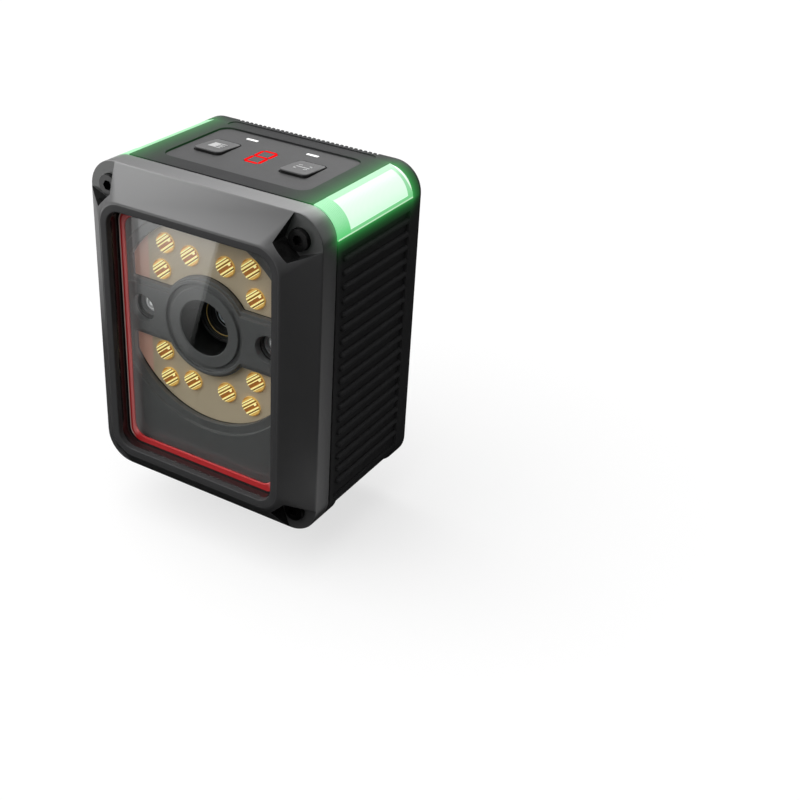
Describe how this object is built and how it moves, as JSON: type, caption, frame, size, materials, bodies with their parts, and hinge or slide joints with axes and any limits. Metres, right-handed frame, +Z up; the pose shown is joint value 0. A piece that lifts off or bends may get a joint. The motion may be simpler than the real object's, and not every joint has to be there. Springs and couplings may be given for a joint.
{
  "type": "fixed barcode reader",
  "caption": "Compact fixed barcode reader: sloped front frame with a gasketed window over lamps, aimers and a lens, ribbed housing with light bars, key panel on top and round ports below.",
  "frame": {"origin": "middle of the rear mounting face, at the centre of its four threaded holes", "axes": "the window faces -Y, +Z is up, +X is to the right seen from the front"},
  "size_m": [0.058, 0.0432, 0.0845],
  "materials": {
    "black_plastic": "fine-textured black moulding",
    "housing_black": "matt black powder coat on die-cast metal",
    "frame_grey": "satin graphite coat",
    "dark_steel": "black oxide",
    "seal_black": "soft black rubber",
    "gasket_red": "red silicone",
    "window_glass": "clear, slightly grey",
    "carrier_grey": "dark grey moulding",
    "lamp_board_tan": "tan solder mask",
    "lamp_gold": "bright gold plate",
    "lamp_phosphor": "amber phosphor",
    "lens_glass": "coated glass",
    "board_green": "green solder mask",
    "board_white": "white solder mask",
    "chip_black": "moulded chip",
    "bright_steel": "zinc plate",
    "light_bar_green": "frosted clear bar, lit green",
    "status_lamp": "lit green",
    "panel_grey": "grey overlay",
    "key_grey": "grey key",
    "digit_red": "lit red",
    "digit_body": "dark red block",
    "indicator_white": "white light guide",
    "pad_grey": "soft gap filler",
    "port_nickel": "nickel plate",
    "contact_gold": "gold plate"
  },
  "bodies": {
    "reader": {"main_housing": "housing_black", "front_bezel": "frame_grey", "bezel_screws": "dark_steel", "bezel_seal": "seal_black", "window_gasket": "gasket_red", "window_glass": "window_glass", "optics_carrier": "carrier_grey", "led_board": "lamp_board_tan", "led_reflectors": "lamp_gold", "led_emitters": "lamp_phosphor", "optics_frame": "black_plastic", "optics_screws": "bright_steel", "frame_screws": "bright_steel", "lens_barrel": "dark_steel", "lens_glass": "lens_glass", "lens_holder": "black_plastic", "image_board": "board_green", "image_sensor": "chip_black", "aimer_left": "black_plastic", "aimer_right": "black_plastic", "aimer_lenses": "lens_glass", "light_pipe_left": "light_bar_green", "light_pipe_right": "light_bar_green", "status_board_left": "board_white", "status_board_right": "board_white", "status_leds": "status_lamp", "control_panel": "panel_grey", "control_board": "board_green", "control_board_screws": "bright_steel", "tact_switches": "chip_black", "digit_display": "digit_body", "digit_segments": "digit_red", "indicator_guides": "indicator_white", "main_board": "board_green", "main_board_screws": "bright_steel", "processor": "chip_black", "thermal_pad": "pad_grey", "port_board": "board_green", "power_port_shell": "port_nickel", "network_port_shell": "port_nickel", "power_port_insert": "black_plastic", "network_port_insert": "black_plastic", "port_contacts": "contact_gold", "port_seals": "seal_black", "port_nuts": "port_nickel"},
    "left_key": {"button_left": "key_grey"},
    "right_key": {"button_right": "key_grey"}
  },
  "joints": [
    {"name": "left_key_press", "type": "slide", "parent": "reader", "child": "left_key", "axis": [0, 0, -1], "range_m": [0, 0.0005], "stiffness_N_per_m": 600, "springref_m": -0.001},
    {"name": "right_key_press", "type": "slide", "parent": "reader", "child": "right_key", "axis": [0, 0, -1], "range_m": [0, 0.0005], "stiffness_N_per_m": 600, "springref_m": -0.001}
  ]
}
